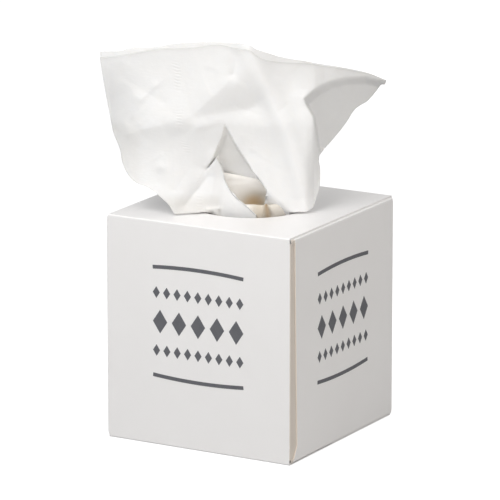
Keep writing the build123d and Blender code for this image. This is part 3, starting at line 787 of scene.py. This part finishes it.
def crimp_marks(nodes, links, place):
    """Clusters of short level marks down the sheet's crimp line."""
    axes = nodes.new("ShaderNodeSeparateXYZ")
    links.new(place, axes.inputs[0])
    waver = reckon(nodes, links, "MULTIPLY_ADD", grain(nodes, links, place, scale=160.0, detail=2.0),
                   CRIMP_WAVER, -CRIMP_WAVER / 2)
    beside = reckon(nodes, links, "ABSOLUTE", reckon(nodes, links, "ADD", marked(nodes, "crimp"), waver))
    beside = reckon(nodes, links, "DIVIDE", beside, CRIMP_HALF)
    column = reckon(nodes, links, "SUBTRACT", 1.0, reckon(nodes, links, "POWER", beside, 4.0))
    column = reckon(nodes, links, "MAXIMUM", column, 0.0)
    clusters = grain(nodes, links, place, scale=70.0, detail=1.0, stretch=(0.05, 0.05, 1.0))
    clusters = reckon(nodes, links, "SUBTRACT", clusters, CLUSTER_LEVEL)
    clusters = reckon(nodes, links, "MULTIPLY", clusters, CLUSTER_GAIN)
    clusters = reckon(nodes, links, "MINIMUM", reckon(nodes, links, "MAXIMUM", clusters, 0.0), 1.0)
    phase = reckon(nodes, links, "MULTIPLY", axes.outputs["Z"], 2 * math.pi / (CRIMP_PITCH * MM))
    phase = reckon(nodes, links, "MULTIPLY_ADD", grain(nodes, links, place, scale=220.0, detail=1.0),
                   CRIMP_UNEVEN, phase)
    ticks = reckon(nodes, links, "SINE", phase)
    return reckon(nodes, links, "MULTIPLY", reckon(nodes, links, "MULTIPLY", column, clusters), ticks)


def make_painted_shade_tissue():
    """The same paper, with warm darker shade painted on where light has passed through many sheets."""
    made = make_tissue_paper("shaded_tissue", False)
    nodes, links = made.node_tree.nodes, made.node_tree.links
    shades = nodes.new("ShaderNodeValToRGB")
    stops = shades.color_ramp.elements
    stops.new(HOLLOW_SHADE_COLORS[1][0])
    for stop, (share, color) in zip(stops, HOLLOW_SHADE_COLORS):
        stop.position = share
        stop.color = (*color, 1.0)
    links.new(marked(nodes, "shade"), shades.inputs["Fac"])
    links.new(shades.outputs["Color"], nodes["Principled BSDF"].inputs["Base Color"])
    return made


def make_ink():
    """Matt grey ink, laid a little unevenly on the coat."""
    made, nodes, links, shader = material("grey_ink", INK_GREY, 0.5)
    place = nodes.new("ShaderNodeTexCoord").outputs["Object"]
    cloud = grain(nodes, links, place, scale=180.0, detail=4.0)
    speck = grain(nodes, links, place, scale=1900.0, detail=2.0)
    color = tinted(nodes, links, INK_GREY, cloud, INK_CLOUD_TINT)
    color = tinted(nodes, links, color, speck, INK_SPECK_TINT)
    links.new(color, shader.inputs["Base Color"])
    links.new(reckon(nodes, links, "MULTIPLY_ADD", cloud, 0.25, 0.38), shader.inputs["Roughness"])
    bumped(nodes, links, shader, [(speck, 0.00001)])
    return made


board = make_board()
tissue = make_tissue_paper("tissue_paper", False)
embossed_tissue = make_tissue_paper("embossed_tissue", True)
painted_shade_tissue = make_painted_shade_tissue()
ink = make_ink()

for node, finish in (("carton", board), ("front_print", ink), ("side_print", ink)):
    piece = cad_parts[node]
    piece.data.materials.clear()
    piece.data.materials.append(finish)

make_raised_tissue()
make_next_tissue()
make_clip()


def make_camera():
    """The photograph's view: a long lens from the front right, a little above."""
    turn, rise = math.radians(CAMERA_TURN), math.radians(CAMERA_RISE)
    back = Vector((math.sin(turn) * math.cos(rise), -math.cos(turn) * math.cos(rise), math.sin(rise)))
    right = Vector((math.cos(turn), math.sin(turn), 0.0))
    up = back.cross(right)
    eye = Vector((0, 0, AIM_HEIGHT)) + back * CAMERA_DISTANCE + right * CAMERA_RIGHT + up * CAMERA_UP
    data = bpy.data.cameras.new("camera")
    data.lens = LENS
    data.sensor_width = 36.0
    data.clip_end = 20.0
    camera = bpy.data.objects.new("camera", data)
    camera.matrix_world = Matrix.Translation(eye) @ Matrix((right, up, back)).transposed().to_4x4()
    bpy.context.collection.objects.link(camera)
    bpy.context.scene.camera = camera


def make_floor():
    """A plain floor, white to the camera, that keeps a faint shadow."""
    bpy.ops.object.select_all(action="DESELECT")
    bpy.ops.mesh.primitive_plane_add(size=FLOOR_SIZE)
    floor = bpy.context.object
    floor.name = "floor"
    made = bpy.data.materials.new("white_floor")
    made.use_nodes = True
    nodes, links = made.node_tree.nodes, made.node_tree.links
    nodes.clear()
    output = nodes.new("ShaderNodeOutputMaterial")
    diffuse = nodes.new("ShaderNodeBsdfDiffuse")
    diffuse.inputs["Color"].default_value = (*FLOOR_GREY, 1.0)
    glow = nodes.new("ShaderNodeEmission")
    path = nodes.new("ShaderNodeLightPath")
    strength = reckon(nodes, links, "MULTIPLY", path.outputs["Is Camera Ray"], FLOOR_GLOW)
    both = nodes.new("ShaderNodeAddShader")
    links.new(strength, glow.inputs["Strength"])
    links.new(diffuse.outputs[0], both.inputs[0])
    links.new(glow.outputs[0], both.inputs[1])
    links.new(both.outputs[0], output.inputs["Surface"])
    floor.data.materials.append(made)


def make_world():
    """White light all round, fuller from the front, and a white background for the camera."""
    world = bpy.data.worlds.new("studio")
    bpy.context.scene.world = world
    world.use_nodes = True
    nodes, links = world.node_tree.nodes, world.node_tree.links
    toward = nodes.new("ShaderNodeVectorMath")
    toward.operation = "DOT_PRODUCT"
    toward.inputs[1].default_value = LIGHT_FROM
    links.new(nodes.new("ShaderNodeTexCoord").outputs["Generated"], toward.inputs[0])
    strength = reckon(nodes, links, "MULTIPLY_ADD", toward.outputs["Value"], WORLD_LEAN, WORLD_LEVEL)
    path = nodes.new("ShaderNodeLightPath")
    blend = nodes.new("ShaderNodeMix")
    blend.inputs["B"].default_value = 1.0
    background = nodes["Background"]
    background.inputs["Color"].default_value = (1.0, 1.0, 1.0, 1.0)
    links.new(path.outputs["Is Camera Ray"], blend.inputs["Factor"])
    links.new(strength, blend.inputs["A"])
    links.new(blend.outputs["Result"], background.inputs["Strength"])


def make_lamp(name, place, target, size, power, color):
    """A square soft box that faces its target."""
    data = bpy.data.lights.new(name, "AREA")
    data.size = size
    data.energy = power
    data.color = color
    lamp = bpy.data.objects.new(name, data)
    lamp.location = place
    lamp.rotation_euler = (Vector(target) - Vector(place)).to_track_quat("-Z", "Y").to_euler()
    bpy.context.collection.objects.link(lamp)


make_camera()
make_floor()
make_world()
for lamp in LAMPS:
    make_lamp(*lamp)
bpy.context.scene.view_settings.view_transform = "Standard"
